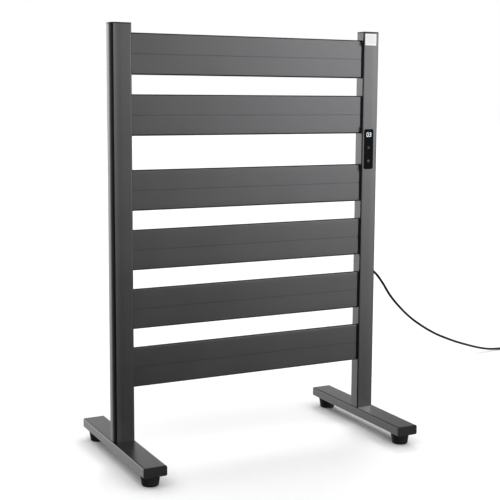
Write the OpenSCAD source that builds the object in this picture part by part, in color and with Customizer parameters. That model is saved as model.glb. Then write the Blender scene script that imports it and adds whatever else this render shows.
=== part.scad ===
// Free-standing electric towel warmer: two hollow posts on foot bars, six flat
// heated rails between them, a touch panel in the right post and a mains cord.
// Millimetres. X runs along the rails, Y to the back, Z up. The origin is on the
// floor, under the middle of the rack.

/* [Posts] */
// Clear distance between the two posts
clear_w = 513; // [420:1:700]
// Width of a post, seen from the front
post_w = 41; // [38:1:60]
// Depth of a post
post_d = 28; // [28:1:40]
// Height of the capped posts above the floor
rack_h = 845; // [845:1:1000]
// Wall of the post profile
post_wall = 2; // [1.6:0.1:2.4]
// Corner radius of a post at its two inner edges and its outer back edge
post_r = 3; // [2.5:0.5:4]
// Radius of the curved outer side of a post
side_r = 30; // [28:1:40]
// Radius of the slight crown on the outer half of the front
crown_r = 120; // [100:10:200]

/* [Rails] */
// Height of one flat rail
rail_h = 78.7; // [72:0.1:80]
// Thickness of one flat rail
rail_t = 8; // [8:0.5:10]
// Wall of the rail profile
rail_wall = 1.3; // [1:0.1:1.4]
// Gap between two rails
rail_gap = 36.3; // [20:0.1:37]
// Wide gap under the second rail, where a towel is fed through
towel_gap = 64.2; // [40:0.1:65]
// Distance from the top of the posts to the first rail
top_margin = 17.5; // [12:0.5:20]

/* [Feet] */
// Length of a foot bar with its end caps
foot_l = 344; // [280:2:400]
// Width of a foot bar
foot_w = 46; // [44:1:60]
// Height of a foot bar
foot_t = 19; // [16:1:24]
// Wall of the foot bar profile
foot_wall = 2.2; // [2:0.1:2.5]
// Height of a rubber foot
rubber_h = 22.5; // [18:0.5:30]
// Diameter of a rubber foot at its top
rubber_d = 38; // [32:1:42]
// Diameter of a rubber foot at the floor
rubber_floor_d = 32; // [26:1:38]

/* [Touch panel] */
// Width of the panel window
lens_w = 23; // [20:1:24]
// Height of the panel window
lens_h = 84; // [78:1:88]
// Height of the middle of the panel above the floor
lens_z = 601; // [600:1:602]

/* [Mains cord] */
// Diameter of the mains cord
cord_d = 6; // [5:0.5:7]
// Height at which the cord leaves the right post
cord_z = 352; // [340:1:360]

/* [Hidden] */

$fn = 48;
eps = 0.01;
least_r = 0.3;
RAILS = 6;
WIDE_AFTER = 2; // the wide gap comes after this many rails

// Clearances that keep neighbouring solids apart, and how far a cutting shape
// reaches past the surface that it cuts
slip = 0.1;
thread_slip = 0.05;
over = 1;

// Places that follow from the driving dimensions
post_x = clear_w / 2 + post_w / 2;
inner_x = clear_w / 2;
front_y = -post_d / 2;
back_y = post_d / 2;
foot_top = rubber_h + foot_t;
side_tangent_y = 3;
rail_y = 0;
rail_back = rail_y + rail_t / 2;
rail_r = 3;
channel_t = rail_t - 2 * rail_wall;
channel_h = 50;
side_channel_h = (rail_h - channel_h) / 2 - 3 * rail_wall;
groove_w = 1;
groove_d = 0.4;

// Post fittings
cap_t = 2.5;
cap_plug_h = 14;
cap_plug_wall = 2;
base_h = 30;
bolt_pitch = 18;
bolt_d = 6;
bolt_head_d = 10;
bolt_head_h = 4;
bolt_reach = 24;
bolt_hole_d = 6.6;
bolt_access_d = 12;

// Rail joints: two tongues at each rail end, each with a block inside the post,
// one screw into the block and one into the rail
tongue_t = 5;
tongue_h = 14;
tongue_in_post = 14;
tongue_in_rail = 25;
tongue_offset = 13.5;
slot_h = 2 * tongue_offset + tongue_h + 1;
screw_d = 4;
screw_head_d = 7.6;
screw_head_h = 2.2;
screw_hole_d = 4.5;
post_screw_in = 7.5;
rail_screw_in = 14;
screw_reach = 6;
recess_w = 1.1;
recess_l = 4.2;
recess_d = 1.2;

// Feet
foot_r = 3;
foot_inner_r = 1;
end_cap_t = 2.5;
end_plug_l = 12;
end_plug_wall = 2;
rubber_from_end = 27;
rubber_r = 2;
foot_screw_head_z = 14;
foot_screw_room = 0.7;
foot_screw_tip_z = foot_top - foot_wall - 6;

// Heater: a hairpin of heating cable in the middle channel of each rail
heater_d = 3.6;
heater_pitch = 8;
heater_left_x = -inner_x + 40;
heater_right_x = inner_x + 6;

// Touch panel
lens_t = 2.6;
lens_proud = 0.6;
lens_r = 4;
lens_x = inner_x + 16;
lens_back = front_y + post_wall;
tray_wall = 1.5;
tray_w = 26;
tray_h = lens_h + 8;
tray_back = 5.5;
tray_hole_d = 8;
tray_hole_up = 10;
board_t = 1.6;
board_front = lens_back + 4;
digits_z = lens_z + 30.5;
digits_w = 19;
digits_h = 13;
key_z = [lens_z + 3, lens_z - 25];
spring_d = 9;
spring_tip_d = 6;
spring_bore = 4;
relay_size = [16, 9, 20];
relay_z = lens_z + 14;

// Wiring in the right post
harness_x = inner_x + 18.5;
harness_y = 8.2;
harness_d = 5;
lead_d = 3;
cord_x = inner_x + 31;
terminal_z = 462;
terminal_size = [20, 12, 24];
terminal_x = cord_x - 6;
terminal_pitch = 6;
terminal_bore = 3.4;
bead_y = -6.5;
cutoff_d = 5;
cutoff_l = 16;
sensor_d = 4;
sensor_l = 10;
supply_bend = 9;
supply_y = -1;

// Earth point on the block in the right post
earth_tap = 12;
earth_screw_l = 10;
earth_ring_d = 9;
earth_ring_t = 0.8;
earth_tab = [4, 11, earth_ring_t];

// Strain relief
relief_flange_d = 14;
relief_flange_t = 2.5;
relief_hole_d = 9;
relief_lip_d = 12;
relief_lip_t = 1.5;
relief_root_d = 11;
relief_tip_y = back_y + 24;
relief_tip_d = 7.4;

// Label
label_size = [27, 0.3, 23.5];
label_in = 3.2;
label_down = 28;

// Cord route from the tip of the strain relief to the coil, in hand-picked points
cord_route = [
    [cord_x, relief_tip_y, cord_z], [cord_x, 45, cord_z], [289, 54, cord_z], [294, 66, 351],
    [304, 81, 348], [320, 101, 343], [341, 122, 337], [366, 144, 328], [392, 165, 317],
    [419, 185, 304], [450, 208, 286], [488, 237, 257], [527, 266, 223],
    [573, 294, 187], [634, 327, 145], [694, 353, 110], [751, 374, 81],
    [798, 388, 61], [845, 399, 43], [890, 406, 28], [930, 411, 16],
    [965, 413, 8], [990, 414, 5], [1010, 414, 4], [1032, 414, 4], [1053, 414, 4]
];
cord_sides = 10;
rings_per_stretch = 3;

// Coil of spare cord, its tie and the plug beside it, all on the floor
coil_x = 1075;
coil_y = 376;
coil_r = 32;
coil_w = 18;
coil_h = 2 * cord_d;
coil_z = 1;
tie_w = 12;
tie_t = 1;
tie_angle = 215;
plug_x = coil_x + coil_r + coil_w / 2 - cord_d / 2;
plug_tail_y = 352;
plug_tail_l = 30;
plug_z = 13;
plug_tail_d = cord_d + 8;
plug_tip_d = cord_d + 1;
plug_body_w = 26;
plug_body_r = 8;
plug_body_l = 30;
pin_l = 18;
blade_w = 6.3;
blade_t = 1.5;
blade_pitch = 12.7;
blade_up = 3;
earth_pin_d = 4.8;
earth_pin_down = 7;

frame_grey = [0.20, 0.20, 0.21];
trim_black = [0.06, 0.06, 0.06];
rubber_black = [0.04, 0.04, 0.04];
steel_grey = [0.65, 0.65, 0.67];

// Height of the top edge of a rail, counted from the top
function rail_top(n) =
    rack_h - top_margin - n * (rail_h + rail_gap) - (n < WIDE_AFTER ? 0 : towel_gap - rail_gap);
function rail_mid(n) = rail_top(n) - rail_h / 2;

// ---------- outlines ----------

// The waste between a square corner and a round one
module corner_waste(r) {
    difference() {
        translate([-eps, -eps])
            square(r + eps);
        translate([r, r])
            circle(r);
    }
}

// A rectangle around the origin with its own radius at each corner
module rounded_outline(w, h, r_low_left, r_low_right, r_high_right, r_high_left) {
    difference() {
        square([w, h], center = true);
        translate([-w / 2, -h / 2])
            corner_waste(r_low_left);
        translate([w / 2, -h / 2])
            mirror([1, 0])
                corner_waste(r_low_right);
        translate([w / 2, h / 2])
            rotate(180)
                corner_waste(r_high_right);
        translate([-w / 2, h / 2])
            mirror([0, 1])
                corner_waste(r_high_left);
    }
}

module even_outline(w, h, r) {
    rounded_outline(w, h, r, r, r, r);
}

// Section of the left post, cut back by a margin from its outer skin. Its front
// is slightly crowned towards the outer edge, and its outer side is curved.
module post_outline(margin) {
    inner_r = max(post_r - margin, least_r);
    intersection() {
        rounded_outline(post_w - 2 * margin, post_d - 2 * margin, least_r, inner_r, inner_r, inner_r);
        union() {
            translate([0, crown_r - post_d / 2])
                circle(crown_r - margin, $fn = 360);
            translate([0, -post_d])
                square([post_w, 2 * post_d]);
        }
        union() {
            translate([side_r - post_w / 2, side_tangent_y])
                circle(side_r - margin, $fn = 180);
            translate([-post_w, side_tangent_y])
                square([2 * post_w, post_d]);
        }
    }
}

// Puts its children on both posts or one: side is -1 for left and 1 for right
module at_post(side) {
    translate([side * post_x, 0, 0])
        mirror([side > 0 ? 1 : 0, 0, 0])
            children();
}

// Lies a child that stands along Z down along Y, growing to the back
module along_y() {
    rotate([-90, 0, 0])
        children();
}

// Lies a child that stands along Z down along X, growing to the right
module along_x() {
    rotate([0, 90, 0])
        children();
}

// ---------- posts ----------

module post_profile() {
    translate([0, 0, foot_top])
        linear_extrude(rack_h - cap_t - foot_top)
            difference() {
                post_outline(0);
                post_outline(post_wall);
            }
}

// Slots for the tongues and holes for their screws, for the left post
module post_cuts() {
    slot_y = rail_y - tongue_t / 2 - slip;
    for (n = [0 : RAILS - 1]) {
        translate([post_w / 2 - post_wall - 2 * over, slot_y, rail_mid(n) - slot_h / 2])
            cube([post_wall + 3 * over, tongue_t + 2 * slip, slot_h]);
        for (up = [-1, 1])
            translate([post_w / 2 - post_screw_in, back_y - post_wall - over, rail_mid(n) + up * tongue_offset])
                along_y()
                    cylinder(d = screw_hole_d, h = post_wall + 2 * over);
    }
}

module left_post() {
    color(frame_grey)
        at_post(-1)
            difference() {
                post_profile();
                post_cuts();
            }
}

module right_post() {
    color(frame_grey)
        difference() {
            at_post(1)
                difference() {
                    post_profile();
                    post_cuts();
                }
            translate([lens_x, front_y + over, lens_z])
                along_y()
                    linear_extrude(2 * post_wall + over, center = true)
                        even_outline(lens_w + 2 * slip, lens_h + 2 * slip, lens_r);
            translate([cord_x, back_y - post_wall - over, cord_z])
                along_y()
                    cylinder(d = relief_hole_d, h = post_wall + 2 * over);
        }
}

// Plastic cap that closes the top of a post
module post_cap(side) {
    color(trim_black)
        at_post(side) {
            translate([0, 0, rack_h - cap_t])
                linear_extrude(cap_t)
                    post_outline(0);
            translate([0, 0, rack_h - cap_t - cap_plug_h])
                linear_extrude(cap_plug_h)
                    difference() {
                        post_outline(post_wall + slip);
                        post_outline(post_wall + cap_plug_wall);
                    }
        }
}

// Solid block inside the foot of a post, tapped for the bolts from below
module post_base(side) {
    color(steel_grey)
        at_post(side)
            difference() {
                translate([0, 0, foot_top])
                    linear_extrude(base_h)
                        post_outline(post_wall + slip);
                for (end = [-1, 1])
                    translate([end * bolt_pitch / 2, 0, foot_top - over])
                        cylinder(d = bolt_d + 2 * thread_slip, h = bolt_reach + 2 * over);
                if (side > 0)
                    translate([0, 0, foot_top + base_h - earth_tap])
                        cylinder(d = screw_d + 2 * thread_slip, h = earth_tap + over);
            }
}

// ---------- rails ----------

// Section of a rail, drawn with its height along Y and its depth along X
module rail_outline() {
    difference() {
        even_outline(rail_t, rail_h, rail_r);
        even_outline(channel_t, channel_h, 1);
        for (up = [-1, 1])
            translate([0, up * (channel_h / 2 + rail_wall + side_channel_h / 2)])
                even_outline(channel_t, side_channel_h, 1.5);
        translate([-rail_t / 2, 0])
            square([2 * groove_d, groove_w], center = true);
    }
}

module rail(n) {
    color(frame_grey)
        difference() {
            translate([-inner_x, rail_y, rail_mid(n)])
                rotate([90, 0, 90])
                    linear_extrude(clear_w)
                        rail_outline();
            for (side = [-1, 1], up = [-1, 1])
                translate([side * (inner_x - rail_screw_in), rail_y, rail_mid(n) + up * tongue_offset])
                    along_y()
                        cylinder(d = screw_hole_d, h = rail_t);
        }
}

// Hairpin of heating cable, its two ends reaching into the right post
module heater(n) {
    color([0.75, 0.25, 0.15])
        translate([0, rail_y, rail_mid(n)]) {
            for (up = [-1, 1])
                translate([heater_left_x, 0, up * heater_pitch / 2])
                    along_x()
                        cylinder(d = heater_d, h = heater_right_x - heater_left_x);
            translate([heater_left_x, 0, 0])
                rotate([90, 0, 0])
                    rotate([0, 0, 90])
                        rotate_extrude(angle = 180)
                            translate([heater_pitch / 2, 0])
                                circle(d = heater_d);
        }
}

// The tongues that join the rails to one post, each with a block that reaches
// to the back wall of the post
module joint_tongues(side) {
    front = rail_y - tongue_t / 2;
    block_d = back_y - post_wall - front;
    color(steel_grey)
        for (n = [0 : RAILS - 1], up = [-1, 1])
            translate([side * inner_x, front, rail_mid(n) + up * tongue_offset])
                mirror([side > 0 ? 1 : 0, 0, 0])
                    difference() {
                        union() {
                            translate([-tongue_in_post, 0, -tongue_h / 2])
                                cube([tongue_in_post + tongue_in_rail, tongue_t, tongue_h]);
                            translate([-tongue_in_post, 0, -tongue_h / 2])
                                cube([tongue_in_post - post_wall - slip, block_d, tongue_h]);
                        }
                        for (x = [-post_screw_in, rail_screw_in])
                            translate([x, -over, 0])
                                along_y()
                                    cylinder(d = screw_d + 2 * thread_slip, h = block_d + 2 * over);
                    }
}

// A pan head screw standing on the origin, its shank pointing down
module pan_screw(reach) {
    edge = 0.8;
    difference() {
        union() {
            cylinder(d = screw_head_d, h = screw_head_h - edge);
            translate([0, 0, screw_head_h - edge])
                cylinder(d1 = screw_head_d, d2 = screw_head_d - 3 * edge, h = edge);
            translate([0, 0, -reach])
                cylinder(d = screw_d, h = reach + eps);
        }
        for (turn = [0, 90])
            rotate([0, 0, turn])
                translate([-recess_l / 2, -recess_w / 2, screw_head_h - recess_d])
                    cube([recess_l, recess_w, recess_d + over]);
    }
}

// The screws that hold the tongues of one side, all driven from the back
module joint_screws(side) {
    color(trim_black)
        for (n = [0 : RAILS - 1], up = [-1, 1]) {
            translate([side * (inner_x + post_screw_in), back_y, rail_mid(n) + up * tongue_offset])
                along_y()
                    pan_screw(screw_reach);
            translate([side * (inner_x - rail_screw_in), rail_back, rail_mid(n) + up * tongue_offset])
                along_y()
                    pan_screw(screw_reach);
        }
}

// ---------- feet ----------

// A foot bar is a hollow profile that runs from front to back under a post
module foot_bar(side) {
    color(frame_grey)
        translate([side * post_x, 0, rubber_h])
            difference() {
                translate([0, foot_l / 2 - end_cap_t, foot_t / 2])
                    rotate([90, 0, 0])
                        linear_extrude(foot_l - 2 * end_cap_t)
                            difference() {
                                even_outline(foot_w, foot_t, foot_r);
                                even_outline(foot_w - 2 * foot_wall, foot_t - 2 * foot_wall, foot_inner_r);
                            }
                for (end = [-1, 1]) {
                    translate([end * bolt_pitch / 2, 0, foot_t - foot_wall - over])
                        cylinder(d = bolt_hole_d, h = foot_wall + 2 * over);
                    translate([end * bolt_pitch / 2, 0, -over])
                        cylinder(d = bolt_access_d, h = foot_wall + 2 * over);
                    translate([0, end * (foot_l / 2 - rubber_from_end), -over])
                        cylinder(d = screw_d + 2 * thread_slip, h = foot_wall + 2 * over);
                }
            }
}

// The inside of a foot bar, cut back by a margin
module end_plug_outline(margin) {
    even_outline(foot_w - 2 * (foot_wall + margin), foot_t - 2 * (foot_wall + margin), foot_inner_r);
}

// Plug-in cap at one end of a foot bar: end is -1 at the front and 1 at the back
module foot_end_cap(side, end) {
    color(trim_black)
        translate([side * post_x, end * foot_l / 2, rubber_h + foot_t / 2])
            rotate([end * 90, 0, 0]) {
                linear_extrude(end_cap_t)
                    even_outline(foot_w, foot_t, foot_r);
                translate([0, 0, end_cap_t])
                    linear_extrude(end_plug_l)
                        difference() {
                            end_plug_outline(slip);
                            end_plug_outline(end_plug_wall);
                        }
            }
}

// A tapered rubber foot with a rounded lower edge, bored for its screw
module rubber_foot(side, end) {
    color(rubber_black)
        translate([side * post_x, end * (foot_l / 2 - rubber_from_end), 0])
            rotate_extrude()
                difference() {
                    union() {
                        polygon([
                            [0, 0], [rubber_floor_d / 2 - rubber_r, 0], [rubber_floor_d / 2, rubber_r],
                            [rubber_d / 2, rubber_h], [0, rubber_h]
                        ]);
                        translate([rubber_floor_d / 2 - rubber_r, rubber_r])
                            circle(rubber_r);
                    }
                    translate([-eps, -over])
                        square([screw_d / 2 + thread_slip + eps, rubber_h + 2 * over]);
                    translate([-eps, -over])
                        square([screw_head_d / 2 + foot_screw_room, foot_screw_head_z + over]);
                }
}

module rubber_foot_screws() {
    color(steel_grey)
        for (side = [-1, 1], end = [-1, 1])
            translate([side * post_x, end * (foot_l / 2 - rubber_from_end), foot_screw_head_z])
                rotate([180, 0, 0])
                    pan_screw(foot_screw_tip_z - foot_screw_head_z);
}

// The bolts that hold each post on its foot bar, driven from below
module post_bolts() {
    color(steel_grey)
        for (side = [-1, 1], end = [-1, 1])
            translate([side * post_x + end * bolt_pitch / 2, 0, foot_top - foot_wall])
                difference() {
                    union() {
                        cylinder(d = bolt_d, h = foot_wall + bolt_reach - over);
                        translate([0, 0, -bolt_head_h])
                            cylinder(d = bolt_head_d, h = bolt_head_h + eps);
                    }
                    translate([0, 0, -bolt_head_h - over])
                        cylinder(d = bolt_head_d / 2, h = bolt_head_h / 2 + over, $fn = 6);
                }
}

// ---------- touch panel ----------

// A block in the panel, given by its middle in X and Z and its front in Y
module panel_block(x, front, z, size) {
    translate([x - size[0] / 2, front, z - size[2] / 2])
        cube(size);
}

// Glossy window, a little proud of the post
module panel_lens() {
    color(trim_black)
        translate([lens_x, front_y - lens_proud, lens_z])
            along_y()
                linear_extrude(lens_t)
                    even_outline(lens_w, lens_h, lens_r);
}

// Tray that holds the board behind the window
module panel_tray() {
    color([0.85, 0.85, 0.82])
        difference() {
            panel_block(lens_x, lens_back, lens_z, [tray_w, tray_back - lens_back, tray_h]);
            panel_block(lens_x, lens_back - over, lens_z,
                [tray_w - 2 * tray_wall, tray_back - lens_back - tray_wall + over, tray_h - 2 * tray_wall]);
            translate([lens_x, tray_back - tray_wall - over, lens_z - tray_h / 2 + tray_hole_up])
                along_y()
                    cylinder(d = tray_hole_d, h = tray_wall + 2 * over);
        }
}

module control_board() {
    color([0.05, 0.35, 0.15])
        panel_block(lens_x, board_front, lens_z,
            [tray_w - 2 * tray_wall - 2 * slip, board_t, tray_h - 2 * tray_wall - 2 * slip]);
}

module digit_display() {
    color([0.15, 0.15, 0.16])
        panel_block(lens_x, lens_back, digits_z, [digits_w, board_front - lens_back, digits_h]);
}

// Contact springs that carry the touch of a finger from the window to the board
module touch_springs() {
    color(steel_grey)
        for (z = key_z)
            translate([lens_x, lens_back, z])
                along_y()
                    difference() {
                        cylinder(d1 = spring_d, d2 = spring_tip_d, h = board_front - lens_back);
                        translate([0, 0, -over])
                            cylinder(d = spring_bore, h = board_front - lens_back + 2 * over);
                    }
}

module power_relay() {
    color([0.15, 0.35, 0.65])
        panel_block(lens_x, board_front + board_t, relay_z, relay_size);
}

// ---------- wiring in the right post ----------

module terminal_block() {
    front = supply_y - terminal_size[1] / 2;
    color([0.9, 0.88, 0.8])
        difference() {
            panel_block(terminal_x, front, terminal_z, terminal_size);
            for (step = [-1 : 1])
                translate([terminal_x + step * terminal_pitch, front - over, terminal_z + terminal_pitch])
                    along_y()
                        cylinder(d = terminal_bore, h = terminal_size[1] / 2);
        }
}

// Cut-out that opens the circuit if a rail runs too hot, lying on the inner wall
module thermal_cutoff() {
    color([0.75, 0.70, 0.55])
        translate([inner_x + post_wall + cutoff_d / 2 + slip, bead_y, rail_mid(3) - cutoff_l / 2])
            cylinder(d = cutoff_d, h = cutoff_l);
}

// Bead that senses the temperature of the third rail's end
module temperature_sensor() {
    color([0.1, 0.1, 0.1])
        translate([inner_x + post_wall + sensor_d / 2 + slip, bead_y, rail_mid(2) - sensor_l / 2])
            union() {
                cylinder(d = sensor_d, h = sensor_l);
                translate([0, 0, sensor_l])
                    sphere(d = sensor_d);
            }
}

// Leads from the board down and up the post, with a branch to each heater end
module wiring_harness() {
    color([0.8, 0.75, 0.2])
        union() {
            translate([harness_x, harness_y, rail_mid(RAILS - 1) - 10])
                cylinder(d = harness_d, h = rail_mid(0) - rail_mid(RAILS - 1) + 20);
            for (n = [0 : RAILS - 1], up = [-1, 1])
                translate([harness_x, rail_y, rail_mid(n) + up * heater_pitch / 2]) {
                    translate([heater_right_x - harness_x, 0, 0])
                        along_x()
                            cylinder(d = lead_d, h = harness_x - heater_right_x);
                    sphere(d = lead_d);
                    along_y()
                        cylinder(d = lead_d, h = harness_y - rail_y);
                }
        }
}

// The stripped end of the mains cord, from the strain relief up to the terminals
module supply_lead() {
    inner_y = back_y - post_wall - relief_lip_t;
    color(trim_black)
        union() {
            translate([cord_x, supply_y + supply_bend, cord_z])
                along_y()
                    cylinder(d = cord_d, h = inner_y - supply_y - supply_bend);
            translate([cord_x, supply_y + supply_bend, cord_z + supply_bend])
                rotate([0, -90, 0])
                    rotate([0, 0, 180])
                        rotate_extrude(angle = 90)
                            translate([supply_bend, 0])
                                circle(d = cord_d);
            translate([cord_x, supply_y, cord_z + supply_bend])
                cylinder(d = cord_d, h = terminal_z - terminal_size[2] / 2 - cord_z - supply_bend);
        }
}

module earth_ring() {
    color("goldenrod")
        translate([post_x, 0, foot_top + base_h])
            difference() {
                union() {
                    cylinder(d = earth_ring_d, h = earth_ring_t);
                    translate([-earth_tab[0] / 2, 0, 0])
                        cube(earth_tab);
                }
                translate([0, 0, -over])
                    cylinder(d = screw_d + 2 * thread_slip, h = earth_ring_t + 2 * over);
            }
}

module earth_screw() {
    color(steel_grey)
        translate([post_x, 0, foot_top + base_h + earth_ring_t])
            pan_screw(earth_screw_l);
}

// Grommet that grips the cord in the back wall and tapers along it
module strain_relief() {
    color(trim_black)
        translate([cord_x, back_y, cord_z])
            along_y()
                union() {
                    translate([0, 0, -post_wall - relief_lip_t])
                        cylinder(d = relief_lip_d, h = relief_lip_t);
                    translate([0, 0, -post_wall])
                        cylinder(d = relief_hole_d, h = post_wall);
                    cylinder(d = relief_flange_d, h = relief_flange_t);
                    translate([0, 0, relief_flange_t])
                        cylinder(d1 = relief_root_d, d2 = relief_tip_d,
                            h = relief_tip_y - back_y - relief_flange_t);
                }
}

// Plain self-adhesive label near the top of the right post
module rating_label() {
    color("white")
        translate([inner_x + label_in, front_y - label_size[1], rack_h - label_down])
            cube(label_size);
}

// ---------- mains cord ----------

// A smooth line through the route's points, with a few rings for each stretch
function route_at(i) = cord_route[max(0, min(i, len(cord_route) - 1))];
function between(i, t) =
    let(a = route_at(i - 1), b = route_at(i), c = route_at(i + 1), d = route_at(i + 2))
        0.5 * (2 * b + t * (c - a) + t * t * (2 * a - 5 * b + 4 * c - d)
            + t * t * t * (3 * b - a - 3 * c + d));
cord_line = [
    for (i = [0 : len(cord_route) - 2], k = [0 : rings_per_stretch - 1]) between(i, k / rings_per_stretch),
    cord_route[len(cord_route) - 1]
];
cord_last = len(cord_line) - 1;

// Direction of the cord at a ring, from its neighbours
function unit(v) = v / norm(v);
function heading(i) = unit(cord_line[min(i + 1, cord_last)] - cord_line[max(i - 1, 0)]);

// Points of one ring, and the faces that join the rings
function cord_ring(i) = let(v = heading(i), s = unit(cross(v, [0, 0, 1])), t = cross(s, v))
    [for (k = [0 : cord_sides - 1])
        let(a = 360 * (k + 0.5) / cord_sides) cord_line[i] + cord_d / 2 * (cos(a) * s + sin(a) * t)];
cord_points = [for (i = [0 : cord_last]) each cord_ring(i)];
cord_faces = [
    [for (k = [0 : cord_sides - 1]) k],
    for (i = [0 : cord_last - 1], k = [0 : cord_sides - 1])
        let(next = (k + 1) % cord_sides)
            [i * cord_sides + k, (i + 1) * cord_sides + k, (i + 1) * cord_sides + next, i * cord_sides + next],
    [for (k = [cord_sides - 1 : -1 : 0]) cord_last * cord_sides + k]
];

module power_cord() {
    color(trim_black)
        polyhedron(points = cord_points, faces = cord_faces);
}

module cord_coil() {
    color(trim_black)
        translate([coil_x, coil_y, coil_z])
            rotate_extrude()
                translate([coil_r, coil_h / 2])
                    even_outline(coil_w, coil_h, cord_d / 2);
}

// Strap around the turns of the coil, a little wider than they are so that it clears their curve
module cord_tie() {
    loose = 1.6;
    color(trim_black)
        translate([coil_x, coil_y, coil_z])
            rotate([0, 0, tie_angle])
                translate([coil_r, 0, coil_h / 2])
                    rotate([90, 0, 0])
                        linear_extrude(tie_w, center = true)
                            difference() {
                                even_outline(coil_w + loose + 2 * tie_t, coil_h + 2 * tie_t, 1.5);
                                even_outline(coil_w + loose, coil_h, 0.5);
                            }
}

// Moulded plug with its own tapered tail, lying on the floor beside the coil
module plug_body() {
    body_y = plug_tail_y - plug_tail_l;
    color(trim_black)
        translate([plug_x, 0, plug_z])
            union() {
                translate([0, body_y, 0])
                    along_y()
                        cylinder(d1 = plug_tail_d, d2 = plug_tip_d, h = plug_tail_l);
                translate([0, body_y, 0])
                    rotate([90, 0, 0])
                        linear_extrude(plug_body_l)
                            even_outline(plug_body_w, plug_body_w, plug_body_r);
            }
}

module plug_pins() {
    face_y = plug_tail_y - plug_tail_l - plug_body_l;
    color("goldenrod")
        translate([plug_x, face_y - pin_l, plug_z]) {
            for (side = [-1, 1])
                translate([side * blade_pitch / 2 - blade_t / 2, 0, blade_up - blade_w / 2])
                    cube([blade_t, pin_l, blade_w]);
            translate([0, 0, -earth_pin_down])
                along_y()
                    cylinder(d = earth_pin_d, h = pin_l);
        }
}

// ---------- the assembly ----------

left_post();
right_post();
post_cap(-1);  // left_post_cap
post_cap(1);  // right_post_cap
post_base(-1);  // left_post_base
post_base(1);  // right_post_base
rail(0);  // rail_1
rail(1);  // rail_2
rail(2);  // rail_3
rail(3);  // rail_4
rail(4);  // rail_5
rail(5);  // rail_6
heater(0);  // heater_1
heater(1);  // heater_2
heater(2);  // heater_3
heater(3);  // heater_4
heater(4);  // heater_5
heater(5);  // heater_6
joint_tongues(-1);  // left_joint_tongues
joint_tongues(1);  // right_joint_tongues
joint_screws(-1);  // left_joint_screws
joint_screws(1);  // right_joint_screws
foot_bar(-1);  // left_foot_bar
foot_bar(1);  // right_foot_bar
foot_end_cap(-1, -1);  // left_front_end_cap
foot_end_cap(-1, 1);  // left_back_end_cap
foot_end_cap(1, -1);  // right_front_end_cap
foot_end_cap(1, 1);  // right_back_end_cap
rubber_foot(-1, -1);  // left_front_rubber_foot
rubber_foot(-1, 1);  // left_back_rubber_foot
rubber_foot(1, -1);  // right_front_rubber_foot
rubber_foot(1, 1);  // right_back_rubber_foot
rubber_foot_screws();
post_bolts();
panel_lens();
panel_tray();
control_board();
digit_display();
touch_springs();
power_relay();
terminal_block();
thermal_cutoff();
temperature_sensor();
wiring_harness();
supply_lead();
earth_ring();
earth_screw();
strain_relief();
rating_label();
power_cord();
cord_coil();
cord_tie();
plug_body();
plug_pins();
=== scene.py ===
# %% [markdown]
# # A free-standing towel warmer
# The rack is two hollow aluminium posts on foot bars, with six flat heated rails between them.
# A touch panel sits in the right post, and a mains cord leaves that post at the back.
# The engineering model is loaded first and never moved: it gives the place and size of every part.
# What the eye meets is then modelled anew around it, with the edges and finishes of the real thing.

# %% Load the frame
import math

import bmesh
import bpy
from mathutils import Matrix, Vector


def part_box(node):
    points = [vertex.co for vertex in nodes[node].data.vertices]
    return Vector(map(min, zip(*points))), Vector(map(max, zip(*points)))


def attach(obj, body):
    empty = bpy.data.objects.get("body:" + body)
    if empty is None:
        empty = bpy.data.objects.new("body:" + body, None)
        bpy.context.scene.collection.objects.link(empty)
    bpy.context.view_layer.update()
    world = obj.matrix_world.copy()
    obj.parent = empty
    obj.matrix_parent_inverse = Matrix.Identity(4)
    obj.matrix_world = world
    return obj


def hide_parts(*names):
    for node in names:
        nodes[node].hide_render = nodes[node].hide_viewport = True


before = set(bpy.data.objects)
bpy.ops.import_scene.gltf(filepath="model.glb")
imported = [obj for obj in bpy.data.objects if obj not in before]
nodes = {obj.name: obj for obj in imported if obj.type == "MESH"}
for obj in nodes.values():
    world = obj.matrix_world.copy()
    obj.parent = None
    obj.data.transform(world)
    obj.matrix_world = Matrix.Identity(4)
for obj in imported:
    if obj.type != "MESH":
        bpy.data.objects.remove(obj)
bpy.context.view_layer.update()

print("parts in the frame:", len(nodes))


# %% [markdown]
# ## Camera
# A product picture is taken with a long lens from a little to the left, so upright lines stay almost parallel.
# The camera could be aimed with a constraint, but a plain matrix says exactly how it stands.
# Its three axes follow from how far it is turned, tipped and rolled.

# %% Camera
CAMERA_PLACE = Vector((-0.9757, -1.9118, 0.7058))
CAMERA_TURN = math.radians(27.038)
CAMERA_TIP = math.radians(7.023)
CAMERA_ROLL = math.radians(0.321)


def camera_matrix(place, turn, tip, roll):
    """Where the camera stands and how it is held: turned to the right, tipped down and rolled."""
    ahead = Vector((math.sin(turn) * math.cos(tip), math.cos(turn) * math.cos(tip), -math.sin(tip)))
    right = Vector((math.cos(turn), -math.sin(turn), 0))
    up = right.cross(ahead)
    rolled_right = math.cos(roll) * right + math.sin(roll) * up
    rolled_up = math.cos(roll) * up - math.sin(roll) * right
    axes = Matrix((rolled_right, rolled_up, -ahead)).transposed()
    return Matrix.Translation(place) @ axes.to_4x4()


camera = bpy.data.objects.new("camera", bpy.data.cameras.new("camera"))
bpy.context.scene.collection.objects.link(camera)
camera.matrix_world = camera_matrix(CAMERA_PLACE, CAMERA_TURN, CAMERA_TIP, CAMERA_ROLL)
camera.data.sensor_width = 36
camera.data.lens = 76.88
camera.data.shift_y = -0.04
camera.data.clip_end = 60
bpy.context.scene.camera = camera
print("camera", [round(x, 3) for x in camera.location])


# %% [markdown]
# ## Tools for finishes
# A finish is a small network of nodes that works out a colour or a bump for each point of the surface.
# Nodes can be wired one call at a time, but sums of masks and noises soon become hard to read that way.
# So a socket is wrapped in a class with Python's own operators, and each operator adds its Math node.
# All other nodes come from one method that takes their type, their settings and what goes into their sockets.

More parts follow.
